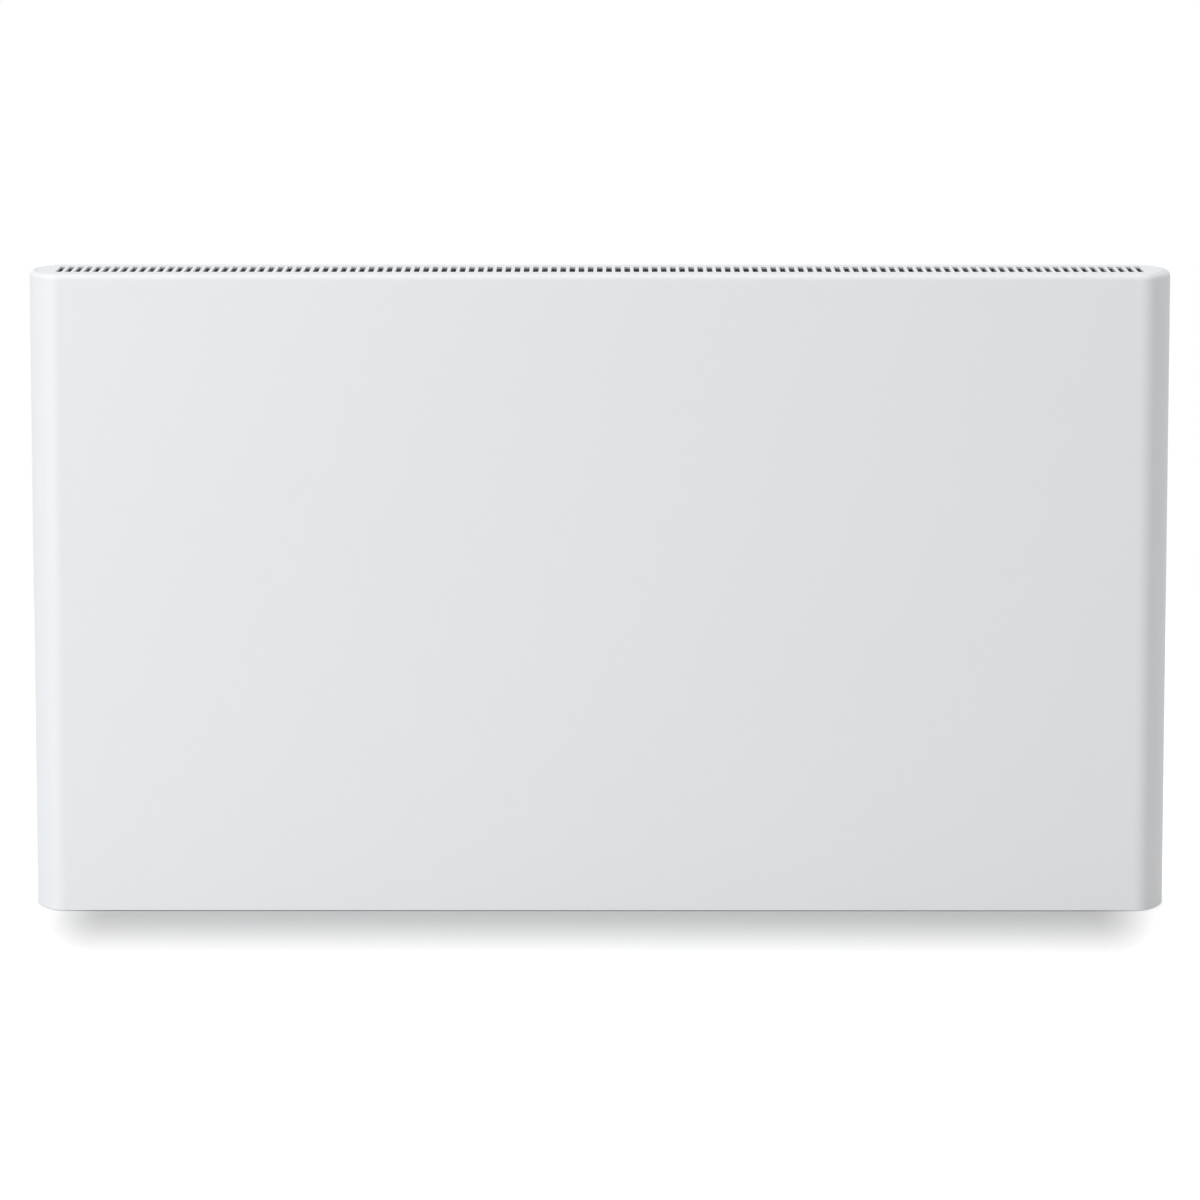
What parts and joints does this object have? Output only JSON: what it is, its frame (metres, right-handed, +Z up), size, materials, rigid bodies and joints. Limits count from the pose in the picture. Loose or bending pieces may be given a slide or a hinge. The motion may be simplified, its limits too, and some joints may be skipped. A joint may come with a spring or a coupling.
{
  "type": "wall panel convector heater",
  "caption": "White wall-hung panel convector heater with bowed ends, a slotted top outlet, a finned element, a wall bracket, and a dial and rocker recessed in one end.",
  "frame": {"origin": "centre of the wall bracket's four fixing holes, on the wall plane", "axes": "+Z up, front faces -Y, +X along the heater's width to the right as seen from the front; the wall is the plane Y = 0"},
  "size_m": [0.8, 0.102, 0.45],
  "materials": {
    "white_coated_steel": "fine-textured satin powder coat, white",
    "galvanised_steel": "hot-dip galvanised sheet with a soft spangle",
    "zinc_steel": "zinc plated, satin",
    "spring_steel": "dark spring steel",
    "zinc_screw": "bright zinc plated",
    "aluminised_steel": "matt aluminised sheet",
    "aluminium": "extruded, mill finish",
    "stainless_tube": "satin stainless",
    "ceramic": "glazed white ceramic",
    "silicone": "red-brown silicone rubber",
    "black_rubber": "matt rubber",
    "black_plastic": "fine-textured moulding",
    "white_plastic": "fine-textured moulding",
    "grey_plastic": "satin moulding",
    "rocker_plastic": "polished moulding",
    "amber_lens": "translucent amber",
    "clear_hood": "natural translucent nylon",
    "board_green": "solder-masked laminate",
    "relay_blue": "moulded case",
    "brass": "turned brass",
    "wire_brown": "heat-proof insulation",
    "wire_blue": "heat-proof insulation",
    "wire_green_yellow": "green and yellow insulation",
    "wire_white": "braided glass sleeve"
  },
  "bodies": {
    "wall_mount": {"bracket_rail_left": "zinc_steel", "bracket_rail_right": "zinc_steel", "bracket_cross_bar": "zinc_steel", "bracket_pads": "black_rubber"},
    "heater": {"front_casing": "white_coated_steel", "top_grille": "white_coated_steel", "grille_clips": "spring_steel", "bottom_guard": "white_coated_steel", "back_panel_left": "galvanised_steel", "back_panel_centre": "galvanised_steel", "back_panel_right": "galvanised_steel", "hook_strip_left": "zinc_steel", "hook_strip_right": "zinc_steel", "casing_screws": "zinc_screw", "end_plate_left": "galvanised_steel", "end_plate_right": "galvanised_steel", "front_heat_shield": "aluminised_steel", "rear_heat_shield": "aluminised_steel", "element_fins": "aluminium", "element_sheath": "stainless_tube", "element_core": "ceramic", "element_insulators": "ceramic", "element_terminals": "stainless_tube", "element_bushes": "silicone", "element_bracket_left": "galvanised_steel", "element_bracket_right": "galvanised_steel", "thermal_cutout": "black_plastic", "cutout_clip": "aluminium", "sensor_probe": "black_plastic", "sensor_clip": "galvanised_steel", "control_housing": "white_plastic", "housing_cover": "white_plastic", "housing_cover_screws": "zinc_screw", "circuit_board": "board_green", "relay": "relay_blue", "capacitor": "black_plastic", "heat_sink": "aluminium", "thermostat_body": "black_plastic", "rocker_switch": "black_plastic", "indicator_lens": "amber_lens", "indicator_lamp": "amber_lens", "terminal_block": "white_plastic", "terminal_screws": "brass", "terminal_cover": "clear_hood", "cable_gland": "black_plastic", "gland_nut": "black_plastic", "earth_stud": "brass", "earth_nut": "brass", "live_wire": "wire_brown", "neutral_wire": "wire_blue", "earth_wire": "wire_green_yellow", "element_wire_left": "wire_white", "element_wire_right": "wire_white", "sensor_wire": "wire_white", "wire_grommets": "black_rubber"},
    "dial": {"thermostat_dial": "grey_plastic", "dial_shaft": "stainless_tube"},
    "rocker": {"power_rocker": "rocker_plastic"}
  },
  "joints": [
    {"name": "heater_lift", "type": "slide", "parent": "wall_mount", "child": "heater", "axis": [0, 0, 1], "range_m": [0, 0.015]},
    {"name": "dial_turn", "type": "hinge", "parent": "heater", "child": "dial", "pos_m": [0.38617, -0.03943, -0.093], "axis": [0.8189, 0.5739, 0], "range_deg": [-270, 0]},
    {"name": "rocker_tip", "type": "hinge", "parent": "heater", "child": "rocker", "pos_m": [0.38494, -0.0403, -0.13], "axis": [-0.5739, 0.8189, 0], "range_deg": [0, 16]}
  ]
}
